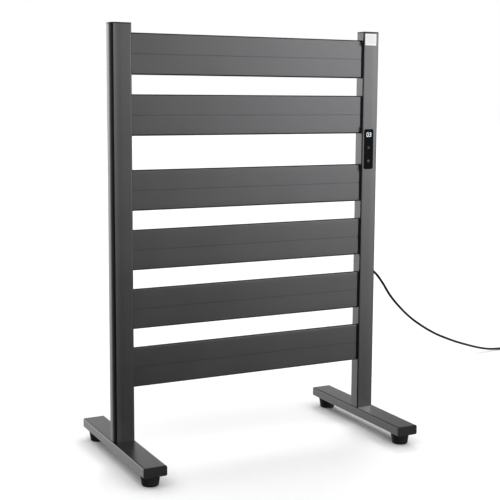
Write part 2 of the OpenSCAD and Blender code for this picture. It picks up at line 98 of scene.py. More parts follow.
# %% Wires and recipes
class Wire:
    """A value on its way from one node to the next."""

    def __init__(self, recipe, socket):
        self.recipe = recipe
        self.socket = socket

    def reckon(self, operation, *others):
        return self.recipe.node("ShaderNodeMath", {"operation": operation}, dict(enumerate(others)))

    def __add__(self, other):
        return self.reckon("ADD", self, other)

    def __sub__(self, other):
        return self.reckon("SUBTRACT", self, other)

    def __rsub__(self, other):
        return self.reckon("SUBTRACT", other, self)

    def __mul__(self, other):
        return self.reckon("MULTIPLY", self, other)

    def __truediv__(self, other):
        return self.reckon("DIVIDE", self, other)

    def __gt__(self, other):
        return self.reckon("GREATER_THAN", self, other)

    def __lt__(self, other):
        return self.reckon("LESS_THAN", self, other)

    def size(self):
        return self.reckon("ABSOLUTE", self)

    __radd__ = __add__


class Recipe:
    """The nodes of one finish, or of the world, with short ways to add to them."""

    def __init__(self, owner):
        owner.use_nodes = True
        self.tree = owner.node_tree
        self.tree.nodes.clear()

    def node(self, kind, settings=None, inputs=None, output=0):
        made = self.tree.nodes.new(kind)
        for name, value in (settings or {}).items():
            if name == "stops":
                self.set_stops(made.color_ramp, value)
            else:
                setattr(made, name, value)
        for name, value in (inputs or {}).items():
            if isinstance(value, Wire):
                self.tree.links.new(value.socket, made.inputs[name])
            else:
                made.inputs[name].default_value = value
        return Wire(self, made.outputs[output]) if made.outputs else made

    def set_stops(self, ramp, stops):
        while len(ramp.elements) < len(stops):
            ramp.elements.new(0.5)
        for element, (place, shade) in zip(ramp.elements, stops):
            element.position = place
            element.color = grey(shade)

    def place(self, *stretch):
        """The point's own place on the object in metres, stretched along X, Y and Z."""
        own = self.node("ShaderNodeTexCoord", output="Object")
        if not stretch:
            return own
        return self.node("ShaderNodeMapping", {}, {"Vector": own, "Scale": stretch})

    def noise(self, where, scale, detail=2.0, roughness=0.5):
        settings = {"Vector": where, "Scale": scale, "Detail": detail, "Roughness": roughness}
        return self.node("ShaderNodeTexNoise", {}, settings)

    def blend(self, amount, first, second):
        """A colour between two others."""
        sockets = {0: amount, 6: first, 7: second}
        return self.node("ShaderNodeMix", {"data_type": "RGBA"}, sockets, output=2)

    def bump(self, height, depth):
        return self.node("ShaderNodeBump", {}, {"Height": height, "Distance": depth, "Strength": 1.0})

    def surface(self, **sockets):
        """The shader itself. Its sockets are given as words, with _ for a space."""
        words = {name: name.replace("_", " ").title().replace("Ior", "IOR") for name in sockets}
        named = {words[name]: value for name, value in sockets.items()}
        shader = self.node("ShaderNodeBsdfPrincipled", {}, named)
        self.node("ShaderNodeOutputMaterial", {}, {"Surface": shader})


def grey(shade):
    """A colour from one shade of grey, or from three numbers."""
    red, green, blue = (shade, shade, shade) if isinstance(shade, (int, float)) else shade
    return (red, green, blue, 1.0)


finishes = {}


def new_finish(name):
    finishes[name] = bpy.data.materials.new(name)
    return Recipe(finishes[name])


# %% [markdown]
# ## The satin coat
# The posts, rails and foot bars have a thin anthracite coat with a soft metallic sheen.
# It has hardly any colour of its own: what shows is the studio, mirrored without sharp edges.
# Plain grey paint would look dull at every angle, so the surface is a metal with a fair roughness.
# A very fine, low bump stands for the grain of the sprayed coat.
# Slow cloudy changes keep it from looking printed.

# %% Coat
def satin_coat():
    recipe = new_finish("satin_coat")
    clouds = recipe.noise(recipe.place(), 9, detail=3)
    drawn = recipe.noise(recipe.place(1, 1, 1), 60, detail=2)
    grain = recipe.noise(recipe.place(), 2600, detail=1)
    tone = recipe.blend(clouds * 0.7 + grain * 0.3, grey((0.150, 0.151, 0.155)), grey((0.185, 0.186, 0.190)))
    gloss = 0.27 + clouds * 0.05 + drawn * 0.03
    recipe.surface(base_color=tone, metallic=1.0, roughness=gloss, normal=recipe.bump(grain, 0.00001))


satin_coat()


# %% [markdown]
# ## Plastics, rubbers and the other metals
# The small parts share a few recipes: a moulding with a fine grain, a duller rubber, and a plain metal.
# Each recipe is one function, so that a new part only has to say its colour and how shiny it is.

# %% Mouldings and rubbers
def moulded(name, dark, light, gloss, grain_size=1800, depth=0.00002):
    """A moulding whose grain is grain_size bumps to the metre."""
    recipe = new_finish(name)
    grain = recipe.noise(recipe.place(), grain_size, detail=2)
    flow = recipe.noise(recipe.place(), 25, detail=2)
    tone = recipe.blend(flow * 0.6 + grain * 0.4, grey(dark), grey(light))
    roughness = gloss - 0.06 + flow * 0.12
    recipe.surface(base_color=tone, roughness=roughness, normal=recipe.bump(grain, depth))


moulded("black_moulding", 0.006, 0.014, 0.42)
moulded("foot_rubber", 0.004, 0.011, 0.72, grain_size=900, depth=0.00005)
moulded("cord_jacket", 0.006, 0.012, 0.38, grain_size=1500)
moulded("pale_plastic", (0.70, 0.69, 0.64), (0.80, 0.79, 0.74), 0.45)
moulded("relay_blue", (0.03, 0.11, 0.34), (0.05, 0.16, 0.45), 0.30)
moulded("red_silicone", (0.38, 0.05, 0.03), (0.52, 0.09, 0.06), 0.55)
moulded("lead_silicone", (0.62, 0.52, 0.08), (0.74, 0.66, 0.14), 0.50)


# %% Metals
def bare_metal(name, dark, light, gloss, stretch):
    """A metal with the fine lines of its making, drawn out where stretch is small."""
    recipe = new_finish(name)
    lines = recipe.noise(recipe.place(*stretch), 700, detail=3)
    stains = recipe.noise(recipe.place(), 40, detail=2)
    tone = recipe.blend(lines * 0.5 + stains * 0.5, grey(dark), grey(light))
    roughness = gloss - 0.05 + lines * 0.10
    recipe.surface(base_color=tone, metallic=1.0, roughness=roughness, normal=recipe.bump(lines, 0.00001))


bare_metal("plated_steel", 0.50, 0.66, 0.32, (1, 1, 1))
bare_metal("black_steel", 0.035, 0.060, 0.38, (1, 1, 1))
bare_metal("mill_aluminium", 0.62, 0.76, 0.36, (0.05, 1, 1))
bare_metal("brass", (0.70, 0.50, 0.20), (0.86, 0.66, 0.32), 0.25, (1, 0.05, 1))


# %% [markdown]
# ## The window and its lights
# The panel is a piece of dark, glossy plastic, and its digits and touch signs shine from behind.
# The glass could be made see-through, but all that would show is a dark board.
# So it stays black, with a hard polish that mirrors little, and the lights lie on it as thin shapes.

# %% Window and lights
def window_gloss():
    recipe = new_finish("window_gloss")
    smear = recipe.noise(recipe.place(1, 1, 0.4), 90, detail=3)
    tone = recipe.blend(smear, grey(0.0025), grey(0.0045))
    recipe.surface(base_color=tone, roughness=0.05 + smear * 0.06, specular_ior_level=0.03)


def lit_sign(name, colour, strength):
    recipe = new_finish(name)
    glow = recipe.noise(recipe.place(), 300, detail=1)
    faint = grey([0.8 * part for part in colour])
    shine = recipe.blend(glow, faint, grey(colour))
    recipe.surface(base_color=faint, roughness=0.4, emission_color=shine, emission_strength=strength)


window_gloss()
lit_sign("lit_digits", (0.75, 0.88, 1.0), 1.6)
lit_sign("lit_signs", (0.16, 0.21, 0.30), 0.25)


# %% [markdown]
# ## The circuit board and the label
# A board has lines of copper under its green lacquer, and a stepped noise is enough to suggest them.
# The label is white film with a pale grey field where a real one is printed, and it stays blank here.

# %% Board and label
def board_lacquer():
    recipe = new_finish("board_lacquer")
    sockets = {"Vector": recipe.place(), "Scale": 350}
    cells = recipe.node("ShaderNodeTexVoronoi", {"distance": "MANHATTAN"}, sockets)
    tracks = cells > 0.42
    tone = recipe.blend(tracks, grey((0.012, 0.16, 0.06)), grey((0.03, 0.26, 0.10)))
    recipe.surface(base_color=tone, roughness=0.28 - tracks * 0.06, normal=recipe.bump(tracks, 0.00003))


def label_film(low, high):
    """White film with a pale field inside its margin."""
    recipe = new_finish("label_film")
    axes = recipe.node("ShaderNodeSeparateXYZ", {}, {"Vector": recipe.place()}, output="X").socket.node
    along, up = Wire(recipe, axes.outputs["X"]), Wire(recipe, axes.outputs["Z"])
    middle, half = (low + high) / 2, (high - low) / 2
    inside_x = (along - middle.x).size() < half.x - 2 * MM
    inside_z = (up - middle.z).size() < half.z - 2.5 * MM
    fibres = recipe.noise(recipe.place(), 2500, detail=2)
    field = inside_x * inside_z * (0.75 + fibres * 0.25)
    tone = recipe.blend(field, grey(0.86), grey((0.71, 0.72, 0.73)))
    recipe.surface(base_color=tone, roughness=0.42, normal=recipe.bump(fibres, 0.000004))


MM = 0.001
board_lacquer()
label_film(*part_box("rating_label"))
print("finishes:", len(finishes))


# %% [markdown]
# ## Tools for the bench
# Every piece starts as a simple form and is shaped in edit mode, as by hand.
# An operator acts on all that is selected, so each tool first drops every selection and picks what it needs.
# The picks are made by place or direction, which holds even when the sizes change.

# %% Picking
TINY = 0.00002


def mm(*lengths):
    """A point or size given in millimetres."""
    return Vector([length * MM for length in lengths])


def near(first, second):
    return abs(first - second) < TINY


def let_go():
    """Leave edit mode and select nothing."""
    if bpy.context.mode != "OBJECT":
        bpy.ops.object.mode_set(mode="OBJECT")
    bpy.ops.object.select_all(action="DESELECT")


def take_up(piece):
    let_go()
    piece.select_set(True)
    bpy.context.view_layer.objects.active = piece


def middle_of(element):
    corners = getattr(element, "verts", [element])
    return sum((corner.co for corner in corners), Vector()) / len(corners)


def pick(piece, kind, wanted):
    """Go into edit mode with only those VERT, EDGE or FACE elements selected that are wanted."""
    take_up(piece)
    bpy.ops.object.mode_set(mode="EDIT")
    bpy.ops.mesh.select_mode(type=kind)
    bpy.ops.mesh.select_all(action="DESELECT")
    mesh = bmesh.from_edit_mesh(piece.data)
    elements = {"VERT": mesh.verts, "EDGE": mesh.edges, "FACE": mesh.faces}[kind]
    for element in elements:
        if wanted(element):
            element.select_set(True)
    mesh.select_flush_mode()
    bmesh.update_edit_mesh(piece.data)


def everything(element):
    return True


def settle(piece, turn=(0, 0, 0), place=(0, 0, 0)):
    """Turn a piece, put it in its place, and leave its object at the origin."""
    take_up(piece)
    piece.rotation_euler = [math.radians(angle) for angle in turn]
    piece.location = place
    bpy.ops.object.transform_apply()


def apply_modifier(piece, kind, **settings):
    tool = piece.modifiers.new(kind.lower(), kind)
    for name, value in settings.items():
        setattr(tool, name, value)
    take_up(piece)
    bpy.ops.object.modifier_apply(modifier=tool.name)


def cut_away(piece, *cutters):
    """Take the shapes of other pieces out of this one. They are used up."""
    for cutter in cutters:
        apply_modifier(piece, "BOOLEAN", operation="DIFFERENCE", object=cutter)
        bpy.data.objects.remove(cutter)


def weld_on(piece, *others):
    for other in others:
        apply_modifier(piece, "BOOLEAN", operation="UNION", object=other)
        bpy.data.objects.remove(other)


def soften(piece, width, segments=2, angle=35):
    """Break every sharp edge, as tumbling or a mould does."""
    limit = math.radians(angle)
    apply_modifier(piece, "BEVEL", width=width, segments=segments, limit_method="ANGLE", angle_limit=limit)


def hand_over(piece, finish, slot, *stands_for, angle=35):
    """Shade a finished piece, give it its finish and put it in the frame in place of its parts."""
    take_up(piece)
    bpy.ops.object.shade_smooth_by_angle(angle=math.radians(angle))
    apply_modifier(piece, "WEIGHTED_NORMAL", keep_sharp=True)
    piece.data.materials.clear()
    piece.data.materials.append(finishes[finish])
    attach(piece, "root")
    if stands_for:
        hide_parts(*stands_for)
    let_go()
    print(f"{piece.name}: {len(piece.data.polygons)} faces, {finish}")
    return piece


# %% [markdown]
# ## Starting forms
# Most of this object is drawn profile: a section that is the same all along, cut to length.
# The same steps make it here: draw the flat section, round its corners, hollow it, and pull it out.
# Blocks and rods serve as the other starting forms and as drills.

# %% Sections, blocks and rods
def draw_plate(name, width, height, radii, segments=8):
    """A flat plate round the origin. radii go round from the corner at low X and low Y, to high X first."""
    let_go()
    bpy.ops.mesh.primitive_plane_add(size=1)
    plate = bpy.context.object
    plate.name = plate.data.name = name
    plate.scale = (width, height, 1)
    bpy.ops.object.transform_apply()
    right, top = width / 2, height / 2
    corners = [(-right, -top), (right, -top), (right, top), (-right, top)]
    for (x, y), radius in zip(corners, radii):
        pick(plate, "VERT", lambda v: near(v.co.x, x) and near(v.co.y, y))
        bpy.ops.mesh.bevel(offset=radius, segments=segments, affect="VERTICES")
    let_go()
    return plate


def hollow_plate(plate, wall):
    pick(plate, "FACE", everything)
    bpy.ops.mesh.inset(thickness=wall)
    bpy.ops.mesh.delete(type="FACE")
    let_go()


def pull_out(plate, length):
    """Draw a section out along Z, like a press, and turn its faces outwards."""
    pick(plate, "FACE", everything)
    bpy.ops.mesh.extrude_region_move(TRANSFORM_OT_translate={"value": (0, 0, length)})
    bpy.ops.mesh.select_all(action="SELECT")
    bpy.ops.mesh.normals_make_consistent(inside=False)
    let_go()
    return plate


def block(name, low, high):
    let_go()
    bpy.ops.mesh.primitive_cube_add(size=1)
    piece = bpy.context.object
    piece.name = piece.data.name = name
    piece.scale = Vector(high) - Vector(low)
    piece.location = (Vector(low) + Vector(high)) / 2
    bpy.ops.object.transform_apply()
    return piece


def rod(name, start, end, radius, tip_radius=None, sides=32):
    """A round bar or a cone between two points."""
    axis = Vector(end) - Vector(start)
    tip = radius if tip_radius is None else tip_radius
    let_go()
    bpy.ops.mesh.primitive_cone_add(vertices=sides, radius1=radius, radius2=tip, depth=axis.length)
    piece = bpy.context.object
    piece.name = piece.data.name = name
    turn = axis.to_track_quat("Z", "Y").to_matrix().to_4x4()
    piece.matrix_world = Matrix.Translation((Vector(start) + Vector(end)) / 2) @ turn
    bpy.ops.object.transform_apply()
    return piece


def join_up(name, pieces):
    let_go()
    for piece in pieces:
        piece.select_set(True)
    bpy.context.view_layer.objects.active = pieces[0]
    bpy.ops.object.join()
    pieces[0].name = pieces[0].data.name = name
    let_go()
    return pieces[0]


def copy_to(piece, name, place):
    """A copy with a mesh of its own, moved by place."""
    twin = piece.copy()
    twin.data = piece.data.copy()
    bpy.context.scene.collection.objects.link(twin)
    twin.name = twin.data.name = name
    settle(twin, place=place)
    return twin


# %% [markdown]
# ## The mains cord
# The lead is 6 mm thick and 1.7 m long: about 1 m runs from the back of the post down to the floor.
# The rest is wound up with its tie and its plug.
# A cord could be a mesh tube, but a curve keeps its true length and bends smoothly between a few points.
# The points below are the route as it was laid out, and the turns of the coil are worked out by a loop.

# %% Route of the cord
CORD_D = 6 * MM
CORD_EXIT = mm(287.5, 38, 352)
CORD_ROUTE = [
    mm(287.5, 38, 352), mm(287.5, 45, 352), mm(289, 54, 352), mm(294, 66, 351), mm(304, 81, 348),
    mm(320, 101, 343), mm(341, 122, 337), mm(366, 144, 328), mm(392, 165, 317), mm(419, 185, 304),
    mm(450, 208, 286), mm(488, 237, 257), mm(527, 266, 223), mm(573, 294, 187), mm(634, 327, 145),
    mm(694, 353, 110), mm(751, 374, 81), mm(798, 388, 61), mm(845, 399, 43), mm(890, 406, 28),
    mm(930, 411, 16), mm(965, 413, 8), mm(990, 414, 5), mm(1010, 414, 4), mm(1032, 414, 4),
    mm(1053, 414, 4),
]

# %% [markdown]
# ## The coil
# The spare lead is wound clockwise, seen from above, in two layers.
# It spirals inwards on the floor, a diameter closer each turn, climbs at the middle, and comes out on top.
# The turns are points on a spiral, close enough that the curve through them stays round.

# %% Coil of spare lead
COIL_MIDDLE = mm(1075, 376, 4)
COIL_OUTER = 38 * MM
STEPS_A_TURN = 18
LOWER_TURNS = 2.0
CLIMB_TURNS = 0.2
UPPER_TURNS = 1.05


def coil_point(turns):
    """Place of the lead after so many turns: in along the floor, up a layer, and out again on top."""
    inward = min(turns, LOWER_TURNS + CLIMB_TURNS)
    climbed = min(max(turns - LOWER_TURNS, 0) / CLIMB_TURNS, 1)
    outward = max(turns - LOWER_TURNS - CLIMB_TURNS, 0) / UPPER_TURNS
    tightest = COIL_OUTER - CORD_D * (LOWER_TURNS + CLIMB_TURNS)
    radius = COIL_OUTER - CORD_D * inward + (COIL_OUTER - tightest) * outward
    angle = math.radians(90 - 360 * turns)
    rise = CORD_D * climbed * climbed * (3 - 2 * climbed)
    return COIL_MIDDLE + Vector((radius * math.cos(angle), radius * math.sin(angle), rise))


ALL_TURNS = LOWER_TURNS + CLIMB_TURNS + UPPER_TURNS
coil_steps = round(ALL_TURNS * STEPS_A_TURN)
coil_route = [coil_point(ALL_TURNS * step / coil_steps) for step in range(coil_steps + 1)]
to_plug = [mm(1113, 365, 11), mm(1113, 352, 13)]
line = CORD_ROUTE + coil_route + to_plug


def lay_cord(points):
    """One open curve through the points, each with handles along the way to its neighbours."""
    curve = bpy.data.curves.new("mains_cord", "CURVE")
    curve.dimensions = "3D"
    curve.bevel_depth = CORD_D / 2
    curve.bevel_resolution = 4
    curve.resolution_u = 6
    curve.use_fill_caps = True
    spline = curve.splines.new("BEZIER")
    spline.bezier_points.add(len(points) - 1)
    for i, knot in enumerate(spline.bezier_points):
        before, after = points[max(i - 1, 0)], points[min(i + 1, len(points) - 1)]
        knot.co = points[i]
        heading = (after - before).normalized()
        knot.handle_left = knot.co - heading * (points[i] - before).length / 3
        knot.handle_right = knot.co + heading * (after - points[i]).length / 3
    cord = bpy.data.objects.new("mains_cord", curve)
    bpy.context.scene.collection.objects.link(cord)
    return cord


mains_cord = lay_cord(line)
mains_cord.data.materials.append(finishes["cord_jacket"])
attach(mains_cord, "root")
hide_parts("power_cord", "cord_coil")
print("points along the cord:", len(line))


# %% [markdown]
# ## Turned pieces
# Sleeves, rubber feet and screws are round, so they are made as on a lathe.
# One point is pulled along the outline, and the outline is then spun round the axis.
# Adding up cylinders would leave seams between them, while a spun outline is one clean skin.

# %% Lathe
def trace(name, spots):
    """Pull one point along a path, and stay in edit mode with the whole line selected."""
    let_go()
    bpy.ops.mesh.primitive_plane_add(size=1)
    piece = bpy.context.object
    piece.name = piece.data.name = name
    bpy.ops.object.mode_set(mode="EDIT")
    bpy.ops.mesh.select_mode(type="VERT")
    bpy.ops.mesh.merge(type="CENTER")
    bpy.ops.transform.translate(value=spots[0])
    for here, there in zip(spots, spots[1:]):
        bpy.ops.mesh.extrude_region_move(TRANSFORM_OT_translate={"value": there - here})
    bpy.ops.mesh.select_all(action="SELECT")
    return piece


def turn_on_lathe(name, outline, place, turn=(0, 0, 0), steps=32):
    """Spin an outline of (radius, height) points in millimetres round Z, then turn and place the piece."""
    piece = trace(name, [mm(radius, 0, height) for radius, height in outline])
    bpy.ops.mesh.spin(steps=steps, angle=2 * math.pi, center=(0, 0, 0), axis=(0, 0, 1))
    bpy.ops.mesh.select_all(action="SELECT")
    bpy.ops.mesh.remove_doubles(threshold=0.00001)
    bpy.ops.mesh.normals_make_consistent(inside=False)
    settle(piece, turn, place)
    return piece


def ribbed_taper(root_r, tip_r, start, end, ribs, depth=0.7):
    """Outline of a bending sleeve: ribs that get thinner towards its tip, with grooves between."""
    outline = []
    for i in range(ribs):
        for share, sunk in ((0.0, 0), (0.62, 0), (0.70, depth), (0.92, depth)):
            t = (i + share) / ribs
            outline.append((root_r + (tip_r - root_r) * t - sunk, start + (end - start) * t))
    return outline + [(tip_r, end)]


# %% [markdown]
# ## Tie and plug
# A strap holds the turns together, and the plug lies on the floor beside them.
# The plug is one moulding: a rounded block with grooves for the fingers, and a ribbed tail that can bend.
# Its pins are two flat blades and a round earth pin.

# %% Strap round the coil
TIE_ANGLE = 215
TIE_WIDTH = 12
COIL_RADIUS = 32 * MM


def strap():
    band = draw_plate("coil_strap", 21.6 * MM, 14 * MM, [2.2 * MM] * 4)
    hollow_plate(band, 1 * MM)
    pull_out(band, TIE_WIDTH * MM)
    settle(band, place=mm(0, 0, -TIE_WIDTH / 2))
    out = Matrix.Rotation(math.radians(TIE_ANGLE), 3, "Z") @ Vector((COIL_RADIUS, 0, 0))
    settle(band, turn=(90, 0, TIE_ANGLE), place=COIL_MIDDLE + out + mm(0, 0, 3))
    soften(band, 0.25 * MM)
    return hand_over(band, "black_moulding", "trim_plastic", "cord_tie")


coil_strap = strap()


# %% Plug
plug_low, plug_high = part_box("plug_body")
PLUG_BACK = 322
PLUG_X, PLUG_Z = (plug_low.x + plug_high.x) / 2 / MM, (plug_low.z + plug_high.z) / 2 / MM


def grip_groove(y):
    """A ring that takes a shallow groove out of the sides of the plug."""
    ring = draw_plate("groove", 30 * MM, 30 * MM, [9 * MM] * 4)
    hollow_plate(ring, 2.6 * MM)
    pull_out(ring, 1.4 * MM)
    settle(ring, turn=(90, 0, 0), place=mm(PLUG_X, y, PLUG_Z))
    return ring


def plug():
    body = draw_plate("plug_moulding", 26 * MM, 26 * MM, [8 * MM] * 4)
    pull_out(body, 30 * MM)
    settle(body, turn=(90, 0, 0), place=mm(PLUG_X, PLUG_BACK, PLUG_Z))
    soften(body, 1.6 * MM, segments=4)
    cut_away(body, *[grip_groove(PLUG_BACK - gap) for gap in (5, 8.5, 12, 15.5)])
    outline = [(0, -2), (8.2, -2), (8.2, 1.2), (7.2, 2)] + ribbed_taper(7, 3.5, 3, 30, 6) + [(0, 30)]
    tail = turn_on_lathe("tail", outline, mm(PLUG_X, PLUG_BACK, PLUG_Z), turn=(-90, 0, 0))
    weld_on(body, tail)
    return hand_over(body, "black_moulding", "trim_plastic", "plug_body")


plug_moulding = plug()


# %% Pins of the plug
def plug_blade(side):
    x = PLUG_X + side * 6.35
    front = plug_low.y / MM
    blade = block("blade", mm(x - 0.75, front - 18, PLUG_Z - 0.15), mm(x + 0.75, front, PLUG_Z + 6.15))
    pick(blade, "EDGE", lambda e: near(middle_of(e).y, (front - 18) * MM))
    bpy.ops.mesh.bevel(offset=0.5 * MM, segments=2, affect="EDGES")
    hole = rod("hole", mm(x - 2, front - 14.5, PLUG_Z + 3), mm(x + 2, front - 14.5, PLUG_Z + 3), 1.6 * MM)
    cut_away(blade, hole)
    return blade


def plug_contacts():
    front = plug_low.y / MM
    outline = [(0, 0), (2.4, 0), (2.4, 16.2), (2.1, 17.2), (1.2, 17.9), (0, 18)]
    earth_pin = turn_on_lathe("earth_pin", outline, mm(PLUG_X, front, PLUG_Z - 7), turn=(90, 0, 0))
    pins = join_up("plug_contacts", [plug_blade(-1), plug_blade(1), earth_pin])
    return hand_over(pins, "brass", "brass_contact", "plug_pins")


plug_pins = plug_contacts()


# %% [markdown]
# ## The posts
# A post is a hollow profile with a slight crown on its front and a curved outer side, which meet in a crease.
# Its section is worked out as arcs and traced point by point, since no bevelled box has that shape.
# Slots for the rail joints, screw holes, the window and the cord's hole are then cut as in a workshop.

# %% Places of the rails
RAILS = ["rail_1", "rail_2", "rail_3", "rail_4", "rail_5", "rail_6"]
rail_boxes = [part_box(name) for name in RAILS]
rail_middles = [(low.z + high.z) / 2 for low, high in rail_boxes]
TONGUE_OFFSET = 13.5 * MM
print("rail heights", [round(z, 4) for z in rail_middles])


def screw_heights():
    """The heights of the two screws of every rail."""
    return [z + up * TONGUE_OFFSET for z in rail_middles for up in (-1, 1)]


# %% Posts
EDGE_ROUND = 3 * MM
POST_WALL = 2 * MM
POST_SCREW_IN = 7.5 * MM
RAIL_SCREW_IN = 14 * MM
SCREW_HOLE_R = 2.25 * MM
SLOT = mm(3, 2.6, 21)

# The section of the left post round the origin, in millimetres, with its outer side at low X.
POST_W, POST_D, POST_EDGE = 41, 28, 3
SIDE_R, SIDE_Y, CROWN_R = 30, 3, 120
LEAST_ROUND = 0.3
CREASE_ROUND = 1.2 * MM


def arc(middle, radius, start, end, steps):
    """Points along an arc, as (x, y), from the angle start to the angle end in degrees."""
    angles = [math.radians(start + (end - start) * i / steps) for i in range(steps + 1)]
    return [(middle[0] + radius * math.cos(turn), middle[1] + radius * math.sin(turn)) for turn in angles]


def crease(side_circle, crown_circle):
    """The angles on both circles, in degrees, at which the curved side meets the crowned front."""
    (x1, y1, r1), (x2, y2, r2) = side_circle, crown_circle
    apart = math.hypot(x2 - x1, y2 - y1)
    along = (r1 * r1 - r2 * r2 + apart * apart) / (2 * apart)
    off = math.sqrt(r1 * r1 - along * along)
    x = x1 + (along * (x2 - x1) + off * (y1 - y2)) / apart
    y = y1 + (along * (y2 - y1) - off * (x1 - x2)) / apart
    return [math.degrees(math.atan2(y - cy, x - cx)) % 360 for cx, cy in ((x1, y1), (x2, y2))]


def post_plate(side, name, margin=0.0):
    """The flat section of a post round the origin, cut back by a margin in millimetres."""
    edge = max(POST_EDGE - margin, LEAST_ROUND)
    across, deep = POST_W / 2 - margin - edge, POST_D / 2 - margin - edge
    side_circle = (SIDE_R - POST_W / 2, SIDE_Y, SIDE_R - margin)
    crown_circle = (0, CROWN_R - POST_D / 2, CROWN_R - margin)
    side_end, crown_start = crease(side_circle, crown_circle)
    edges = arc((across, -deep), edge, -90, 0, 6) + arc((across, deep), edge, 0, 90, 6)
    edges += arc((-across, deep), edge, 90, 180, 6)
    outer = arc(side_circle[:2], side_circle[2], 180, side_end, 12)
    crown = arc(crown_circle[:2], crown_circle[2], crown_start, 270, 8)[1:]
    plate = trace(name, [mm(-side * x, y, 0) for x, y in edges + outer + crown])
    bpy.ops.mesh.edge_face_add()
    if margin == 0:
        crease_x, crease_y = -side * outer[-1][0] * MM, outer[-1][1] * MM
        pick(plate, "VERT", lambda v: near(v.co.x, crease_x) and near(v.co.y, crease_y))
        bpy.ops.mesh.bevel(offset=CREASE_ROUND, segments=5, affect="VERTICES")
    let_go()
    return plate


def joint_slots(x):
    middles = [Vector((x, 0, z)) for z in rail_middles]
    return join_up("slots", [block("slot", middle - SLOT, middle + SLOT) for middle in middles])


def screw_drills(x, start_y, end_y):
    drills = [rod("drill", (x, start_y, z), (x, end_y, z), SCREW_HOLE_R, sides=20) for z in screw_heights()]
    return join_up("drills", drills)


def post(side, name, node):
    low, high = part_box(node)
    middle = (low + high) / 2
    profile = post_plate(side, name)
    hollow_plate(profile, POST_WALL)
    pull_out(profile, high.z - low.z)
    settle(profile, place=(middle.x, middle.y, low.z))
    soften(profile, 0.2 * MM)
    inner_x = high.x if side < 0 else low.x
    screw_x = inner_x + side * POST_SCREW_IN
    cut_away(profile, joint_slots(inner_x), screw_drills(screw_x, high.y - 4 * MM, high.y + 2 * MM))
    return profile


left_post = hand_over(post(-1, "left_post_profile", "left_post"), "satin_coat", "frame_coat", "left_post")
right_profile = post(1, "right_post_profile", "right_post")

lens_low, lens_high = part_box("panel_lens")
lens_middle = (lens_low + lens_high) / 2
lens_size = lens_high - lens_low
LENS_ROUND = 4 * MM


def lens_plate(name, margin, depth, back_y):
    """A plate with the outline of the window, standing upright, its back at back_y."""
    plate = draw_plate(name, lens_size.x + 2 * margin, lens_size.z + 2 * margin, [LENS_ROUND] * 4)
    pull_out(plate, depth)
    settle(plate, turn=(90, 0, 0), place=(lens_middle.x, back_y, lens_middle.z))
    return plate


window_cutter = lens_plate("window", 0.15 * MM, 8 * MM, lens_high.y + 2 * MM)
cord_drill = rod("cord_hole", CORD_EXIT - mm(0, 30, 0), CORD_EXIT - mm(0, 20, 0), 4.5 * MM)
cut_away(right_profile, window_cutter, cord_drill)
right_post = hand_over(right_profile, "satin_coat", "frame_coat", "right_post")
right_post.visible_glossy = False  # its mirror image would darken the rails' right ends


# %% [markdown]
# ## The caps on the posts
# A flat plastic cap closes each post, with a skirt that grips the wall inside.
# The cap has a soft edge, which catches a thin line of light above the seam.

# %% Post caps
def post_cap(side, name, node):
    low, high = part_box(node)
    middle = (low + high) / 2
    lid_t = 2.5 * MM
    lid = post_plate(side, name)
    pull_out(lid, lid_t)
    settle(lid, place=(middle.x, middle.y, high.z - lid_t))
    pick(lid, "FACE", lambda f: near(middle_of(f).z, high.z))
    bpy.ops.mesh.bevel(offset=0.7 * MM, segments=4, affect="EDGES")
    skirt = post_plate(side, "skirt", margin=2.1)
    hollow_plate(skirt, 1.9 * MM)
    pull_out(skirt, high.z - low.z - lid_t)
    settle(skirt, place=(middle.x, middle.y, low.z))
    cap = join_up(name, [lid, skirt])
    return hand_over(cap, "black_moulding", "trim_plastic", node)


post_cap(-1, "left_cap", "left_post_cap")
post_cap(1, "right_cap", "right_post_cap")


# %% [markdown]
# ## The rails
# Each rail is an extrusion only 8 mm thick, with three channels inside and a fine groove along its front.
# The heating cable lies in the middle channel.
# The section is divided first, each part is hollowed on its own, and then the whole is pulled out.

# %% Rails
RAIL_WALL = 1.3 * MM
GROOVE_W = 1.0 * MM
GROOVE_D = 0.4 * MM


def divide(plate, point, normal):
    pick(plate, "FACE", everything)
    bpy.ops.mesh.bisect(plane_co=point, plane_no=normal)


def rail_section(depth, height):
    plate = draw_plate("rail_section", depth, height, [EDGE_ROUND] * 4, segments=6)
    web = 25.65 * MM
    for y in (-web, web):
        divide(plate, (0, y, 0), (0, 1, 0))
    pick(plate, "FACE", everything)
    bpy.ops.mesh.inset(thickness=RAIL_WALL, use_individual=True)
    bpy.ops.mesh.delete(type="FACE")
    for y in (-GROOVE_W / 2, GROOVE_W / 2):
        divide(plate, (0, y, 0), (0, 1, 0))
    groove_floor = -depth / 2 + GROOVE_D
    divide(plate, (groove_floor, 0, 0), (1, 0, 0))
    pick(plate, "FACE", lambda f: abs(middle_of(f).y) < GROOVE_W / 2 and middle_of(f).x < groove_floor)
    bpy.ops.mesh.delete(type="FACE")
    let_go()
    return plate


def first_rail():
    low, high = rail_boxes[0]
    middle = (low + high) / 2
    rail = rail_section(high.y - low.y, high.z - low.z)
    pull_out(rail, high.x - low.x)
    settle(rail, turn=(90, 0, 90), place=(low.x, middle.y, middle.z))
    soften(rail, 0.12 * MM, segments=1)
    return rail


def drill_rail(rail, low, high):
    middle_z = (low.z + high.z) / 2
    for x in (low.x + RAIL_SCREW_IN, high.x - RAIL_SCREW_IN):
        for up in (-1, 1):
            back = Vector((x, high.y, middle_z + up * TONGUE_OFFSET))
            cut_away(rail, rod("drill", back - mm(0, 3, 0), back + mm(0, 2, 0), SCREW_HOLE_R, sides=20))


